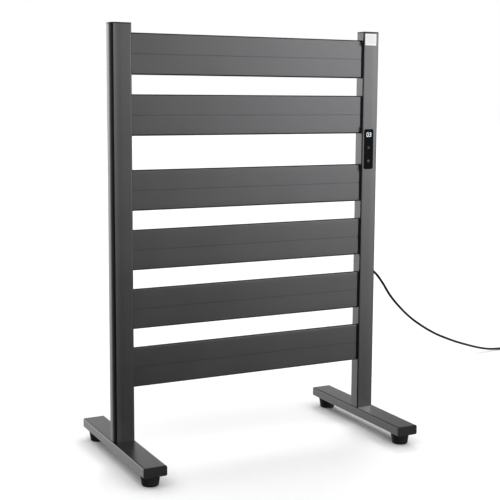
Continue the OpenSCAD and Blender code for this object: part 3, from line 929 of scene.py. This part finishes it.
pattern_rail = first_rail()
drill_rail(pattern_rail, *rail_boxes[0])
rails = []
for node, (low, high) in zip(RAILS, rail_boxes):
    drop = Vector((0, 0, low.z - rail_boxes[0][0].z))
    rail = copy_to(pattern_rail, node + "_profile", drop)
    rails.append(hand_over(rail, "satin_coat", "frame_coat", node))
bpy.data.objects.remove(pattern_rail)


# %% [markdown]
# ## The joint screws
# Two screws in each post and two in each rail end hold the joint, all driven from the back.
# A low domed head with a cross recess is turned once, and the cross is cut with two bars.

# %% Screws at the back
HEAD_H = 2.2
HEAD_R = 3.8


def pan_head_screw():
    """A screw that stands along Z, its head above the origin and its shank below."""
    dome = [(HEAD_R, 0), (HEAD_R, 0.9), (3.6, 1.4), (3.1, 1.8), (2.2, 2.1), (1.1, HEAD_H), (0, HEAD_H)]
    screw = turn_on_lathe("screw", [(0, -6), (1.6, -6), (2, -5.6), (2, 0)] + dome, (0, 0, 0), steps=24)
    wide = block("bar", mm(-2.1, -0.5, 0.9), mm(2.1, 0.5, 3))
    deep = block("bar", mm(-0.5, -2.1, 0.9), mm(0.5, 2.1, 3))
    cut_away(screw, wide, deep)
    return screw


def joint_screws(side, name, node):
    post_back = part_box("left_post")[1].y
    rail_back = rail_boxes[0][1].y
    inner_x = rail_boxes[0][1].x
    spots = [(side * (inner_x + POST_SCREW_IN), post_back, z) for z in screw_heights()]
    spots += [(side * (inner_x - RAIL_SCREW_IN), rail_back, z) for z in screw_heights()]
    first = pan_head_screw()
    settle(first, turn=(-90, 0, 0))
    screws = [copy_to(first, f"screw_{i}", place) for i, place in enumerate(spots)]
    bpy.data.objects.remove(first)
    return hand_over(join_up(name, screws), "black_steel", "black_steel", node)


joint_screws(-1, "left_screws", "left_joint_screws")
joint_screws(1, "right_screws", "right_joint_screws")


# %% [markdown]
# ## The feet
# A foot bar is the same kind of profile as a post, lying down, with a plastic cap in each end.
# Holes underneath let the bolts of the post and the screws of the rubber feet through.
# The rubber feet are turned, with a lip at the top, a round lower edge and a deep hole for the screw.

# %% Foot bars
FOOT_WALL = 2.2 * MM
BOLT_PITCH = 18 * MM
RUBBER_IN = 27 * MM


def foot_bar(name, node):
    low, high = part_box(node)
    middle = (low + high) / 2
    size = high - low
    profile = draw_plate(name, size.x, size.z, [EDGE_ROUND] * 4, segments=8)
    hollow_plate(profile, FOOT_WALL)
    pull_out(profile, size.y)
    settle(profile, turn=(90, 0, 0), place=(middle.x, high.y, middle.z))
    soften(profile, 0.25 * MM)
    drills = []
    for end in (-1, 1):
        bolt_x = middle.x + end * BOLT_PITCH / 2
        hole = Vector((middle.x, end * (high.y + 2.5 * MM - RUBBER_IN), low.z))
        drills.append(rod("bolt", (bolt_x, 0, high.z - 4 * MM), (bolt_x, 0, high.z + MM), 3.3 * MM))
        drills.append(rod("access", (bolt_x, 0, low.z - MM), (bolt_x, 0, low.z + 4 * MM), 6 * MM))
        drills.append(rod("screw", hole - mm(0, 0, 1), hole + mm(0, 0, 4), 2 * MM))
    cut_away(profile, join_up("drills", drills))
    return hand_over(profile, "satin_coat", "frame_coat", node)


foot_bar("left_foot_profile", "left_foot_bar")
foot_bar("right_foot_profile", "right_foot_bar")


# %% Caps of the foot bars
def foot_cap(side, end, name, node):
    """The end is -1 at the front and 1 at the back."""
    bar_low, bar_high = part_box("left_foot_bar" if side < 0 else "right_foot_bar")
    low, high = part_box(node)
    middle = (bar_low + bar_high) / 2
    size = bar_high - bar_low
    lid = draw_plate(name, size.x, size.z, [EDGE_ROUND] * 4)
    pull_out(lid, 2.5 * MM)
    pick(lid, "FACE", lambda f: near(middle_of(f).z, 2.5 * MM))
    bpy.ops.mesh.bevel(offset=0.6 * MM, segments=3, affect="EDGES")
    margin = FOOT_WALL + 0.1 * MM
    skirt = draw_plate("skirt", size.x - 2 * margin, size.z - 2 * margin, [1 * MM] * 4, segments=4)
    hollow_plate(skirt, 1.9 * MM)
    pull_out(skirt, 12 * MM)
    settle(skirt, place=mm(0, 0, -12))
    cap = join_up(name, [lid, skirt])
    seat_y = bar_low.y if end < 0 else bar_high.y
    settle(cap, turn=(90 if end < 0 else -90, 0, 0), place=(middle.x, seat_y, middle.z))
    return hand_over(cap, "black_moulding", "trim_plastic", node)


def rubber_foot(name, node):
    low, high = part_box(node)
    middle = (low + high) / 2
    outline = [(4.5, 0), (9, 0), (9.4, 0.5), (10.6, 0.5), (11, 0)]
    outline += [(13.6, 0), (14.8, 0.3), (15.6, 1), (16, 2.2)]
    outline += [(18.2, 17.2), (18.3, 18.2), (18.6, 18.6), (19, 19), (19, 22.1), (18.7, 22.5)]
    outline += [(2.05, 22.5), (2.05, 14), (4.5, 14), (4.5, 0)]
    foot = turn_on_lathe(name, outline, (middle.x, middle.y, low.z), steps=48)
    return hand_over(foot, "foot_rubber", "foot_rubber", node)


for side, side_name in ((-1, "left"), (1, "right")):
    for end, end_name in ((-1, "front"), (1, "back")):
        corner = f"{side_name}_{end_name}"
        foot_cap(side, end, corner + "_cap", corner + "_end_cap")
        rubber_foot(corner + "_rubber", corner + "_rubber_foot")


# %% [markdown]
# ## The touch panel
# The window is a plate of gloss plastic that stands a little proud of the post.
# Two lit digits and two touch signs shine on it.
# Each digit is a set of bars with pointed ends, and only those bars that are lit are made.

# %% Window
lens = lens_plate("panel_window", 0, lens_size.y, lens_high.y)
pick(lens, "FACE", lambda f: near(middle_of(f).y, lens_low.y))
bpy.ops.mesh.bevel(offset=0.45 * MM, segments=4, affect="EDGES")
hand_over(lens, "window_gloss", "panel_gloss", "panel_lens")


# %% Digits
SIGN_T = 0.06 * MM
DIGIT_W = 3.9
DIGIT_H = 8.2
BAR_W = 0.8
DIGIT_GAP = 6.2
DIGITS_Z = 631.5
LIT_BARS = {"0": "abcdef", "3": "abcdg"}
BAR_PLACES = {
    "a": (0, 1, 90), "b": (0.5, 0.5, 0), "c": (0.5, -0.5, 0), "d": (0, -1, 90),
    "e": (-0.5, -0.5, 0), "f": (-0.5, 0.5, 0), "g": (0, 0, 90),
}


def stand_on_window(sign, x, z):
    """Stand a thin flat sign upright on the front of the window."""
    settle(sign, turn=(90, 0, 0), place=(x * MM, lens_low.y, z * MM))


def digit(character, x):
    bars = []
    for bar_name in LIT_BARS[character]:
        across, up, angle = BAR_PLACES[bar_name]
        length = (DIGIT_W if angle else DIGIT_H / 2) - 0.3
        bar = draw_plate("bar", BAR_W * MM, length * MM, [0.5 * BAR_W * MM * 0.98] * 4, segments=1)
        pull_out(bar, SIGN_T)
        settle(bar, turn=(0, 0, angle), place=mm(across * DIGIT_W, up * DIGIT_H / 2, 0))
        bars.append(bar)
    shape = join_up("digit", bars)
    stand_on_window(shape, x, DIGITS_Z)
    return shape


LENS_X = lens_middle.x / MM
digits = join_up("display_digits", [digit("0", LENS_X - DIGIT_GAP / 2), digit("3", LENS_X + DIGIT_GAP / 2)])
hand_over(digits, "lit_digits", "panel_gloss")


# %% Touch signs
def flat_ring(name, radius, width):
    let_go()
    bpy.ops.mesh.primitive_circle_add(vertices=32, radius=radius * MM, fill_type="NGON")
    ring = bpy.context.object
    ring.name = name
    hollow_plate(ring, width * MM)
    return pull_out(ring, SIGN_T)


def sun_sign(z):
    rays = []
    for i in range(8):
        ray = draw_plate("ray", 0.45 * MM, 1.0 * MM, [0.2 * MM] * 4, segments=2)
        pull_out(ray, SIGN_T)
        settle(ray, place=mm(0, 2.6, 0))
        settle(ray, turn=(0, 0, 45 * i))
        rays.append(ray)
    sign = join_up("sun", [flat_ring("ring", 1.6, 0.45)] + rays)
    stand_on_window(sign, LENS_X, z)
    return sign


def power_sign(z):
    ring = flat_ring("ring", 2.7, 0.5)
    cut_away(ring, block("gap", mm(-0.9, 1, -1), mm(0.9, 4, 1)))
    bar = draw_plate("bar", 0.5 * MM, 2.6 * MM, [0.2 * MM] * 4, segments=2)
    pull_out(bar, SIGN_T)
    settle(bar, place=mm(0, 2, 0))
    sign = join_up("power", [ring, bar])
    stand_on_window(sign, LENS_X, z)
    return sign


touch_signs = join_up("touch_signs", [sun_sign(604), power_sign(576)])
hand_over(touch_signs, "lit_signs", "panel_gloss")


# %% [markdown]
# ## Label and strain relief
# The label is a thin film with barely rounded corners.
# The strain relief is a turned sleeve: a flange on the post, and ribs that let the lead bend without a kink.

# %% Label
label_low, label_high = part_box("rating_label")
label_size = label_high - label_low
label = draw_plate("blank_label", label_size.x, label_size.z, [0.8 * MM] * 4)
pull_out(label, label_size.y)
label_middle = (label_low + label_high) / 2
settle(label, turn=(90, 0, 0), place=(label_middle.x, label_high.y, label_middle.z))
hand_over(label, "label_film", "blank_label", "rating_label")

# %% Strain relief
inner = [(0, -3.5), (5.6, -3.5), (6, -3.1), (6, -2), (4.5, -2), (4.5, 0)]
flange = [(6.6, 0), (7, 0.4), (7, 1.9), (6.4, 2.5)]
relief_outline = inner + flange + ribbed_taper(5.5, 3.7, 2.6, 24, 6, depth=0.8) + [(0, 24)]
relief = turn_on_lathe("cord_sleeve", relief_outline, CORD_EXIT - mm(0, 24, 0), turn=(-90, 0, 0))
hand_over(relief, "black_moulding", "trim_plastic", "strain_relief")


# %% [markdown]
# ## The parts inside
# What the post and the rails hide keeps its engineering shape and gets a real finish:
# blocks and tongues in mill aluminium, screws in plated steel, the board, the relay and the heaters.

# %% Finishes of the inner parts
INNER = {
    "mill_aluminium": ["left_post_base", "right_post_base", "left_joint_tongues", "right_joint_tongues"],
    "plated_steel": ["rubber_foot_screws", "post_bolts", "touch_springs", "earth_screw"],
    "red_silicone": [f"heater_{i}" for i in range(1, 7)],
    "lead_silicone": ["wiring_harness"],
    "pale_plastic": ["panel_tray", "terminal_block", "thermal_cutoff"],
    "board_lacquer": ["control_board"],
    "relay_blue": ["power_relay"],
    "window_gloss": ["digit_display"],
    "black_moulding": ["temperature_sensor", "supply_lead"],
    "brass": ["earth_ring"],
}
for finish, names in INNER.items():
    for name in names:
        part = nodes[name]
        part.data.materials.clear()
        part.data.materials.append(finishes[finish])
print("inner parts:", sum(len(names) for names in INNER.values()))


# %% [markdown]
# ## Floor and light
# The floor is a plain pale sheet, lit from above by one large, soft light and by a weaker one from the back.
# A satin coat shows the room around it, so the room is worked out here as a soft sky by direction:
# bright to the right of the front and at the back, dark at both sides, and darker towards floor and ceiling.
# The front and the back fade differently with height, and a third ramp leads from one to the other.
# The sheet and both lights are kept out of the mirror images, which would wash them out.

# %% Floor
def floor_sheet():
    recipe = new_finish("pale_sheet")
    mottle = recipe.noise(recipe.place(), 3, detail=2)
    tone = recipe.blend(mottle, grey(0.86), grey(0.90))
    recipe.surface(base_color=tone, roughness=0.9)
    let_go()
    bpy.ops.mesh.primitive_plane_add(size=40)
    sheet = bpy.context.object
    sheet.name = "floor_sheet"
    sheet.data.materials.append(finishes["pale_sheet"])
    sheet.visible_glossy = False


floor_sheet()


# %% Overhead light
def soft_light(name, angle, strength, turn=(0, 0, 0)):
    """Even light from a round patch of ceiling, straight above unless it is turned."""
    lamp = bpy.data.lights.new(name, "SUN")
    lamp.angle = math.radians(angle)
    lamp.energy = strength
    light = bpy.data.objects.new(name, lamp)
    bpy.context.scene.collection.objects.link(light)
    light.rotation_euler = [math.radians(part) for part in turn]
    light.visible_glossy = False


soft_light("overhead", 110, 3.5)
soft_light("from_back_right", 18, 0.5, turn=(-35, 30, 0))


# %% Sky of the studio
def ramp(recipe, amount, stops):
    return recipe.node("ShaderNodeValToRGB", {"stops": stops}, {"Fac": amount})


def studio_sky():
    world = bpy.data.worlds.new("studio")
    bpy.context.scene.world = world
    recipe = Recipe(world)
    heading = recipe.node("ShaderNodeTexCoord", output="Generated")
    split = recipe.node("ShaderNodeSeparateXYZ", {}, {"Vector": heading}).socket.node
    x, y, z = (Wire(recipe, split.outputs[axis]) for axis in "XYZ")
    round_about = x.reckon("ARCTAN2", x, y * -1) / (2 * math.pi) + 0.5
    height = z.reckon("ARCSINE", z) / math.pi + 0.5
    by_side = ramp(recipe, round_about, [turn_stop(*stop) for stop in SIDES])
    front_height = ramp(recipe, height, [tilt_stop(*stop) for stop in FRONT_TILTS])
    back_height = ramp(recipe, height, [tilt_stop(*stop) for stop in BACK_TILTS])
    front = ramp(recipe, round_about, [turn_stop(*stop) for stop in FRONT_SHARE])
    by_height = front_height * front + back_height * (1 - front)
    mirrored = by_side * by_height * SKY_POWER
    seen = recipe.node("ShaderNodeLightPath", output="Is Camera Ray")
    strength = seen + (1 - seen) * mirrored
    background = recipe.node("ShaderNodeBackground", {}, {"Color": grey(1.0), "Strength": strength})
    recipe.node("ShaderNodeOutputWorld", {}, {"Surface": background})


def turn_stop(degrees, shade):
    """A stop by the compass: 0 is the front, positive is to the right, and 180 is the back."""
    return (degrees / 360 + 0.5, shade)


def tilt_stop(degrees, shade):
    """A stop by height above the horizon."""
    return (degrees / 180 + 0.5, shade)


SKY_POWER = 2.6
SIDES = [
    (-180, 0.85), (-160, 0.92), (-147, 0.90), (-139, 0.10), (-104, 0.02), (-35, 0.02), (-24, 0.60),
    (-8, 0.66), (4, 0.60), (11, 0.22), (16, 0.05), (22, 0.04), (28, 0.52), (33, 1.00), (45, 0.88), (60, 0.62),
    (75, 0.04), (132, 0.04), (145, 0.45), (180, 0.80),
]
FRONT_TILTS = [
    (-90, 0.04), (-17, 0.10), (-13, 0.14), (-9, 0.24), (-4.3, 0.57), (0, 0.97), (10, 1.00), (24, 0.80),
    (32, 0.06), (90, 0.02),
]
BACK_TILTS = [(-90, 0.10), (-40, 0.32), (-18, 0.36), (0, 0.88), (8, 1.00), (18, 0.32), (30, 0.10), (90, 0.03)]
FRONT_SHARE = [(-110, 0.0), (-85, 1.0), (85, 1.0), (110, 0.0)]
studio_sky()


# %% [markdown]
# ## View
# The scene is shown with the plain Standard view transform. The visual model has to stay inside the
# box of the engineering model.

# %% View transform
bpy.context.scene.view_settings.view_transform = "Standard"
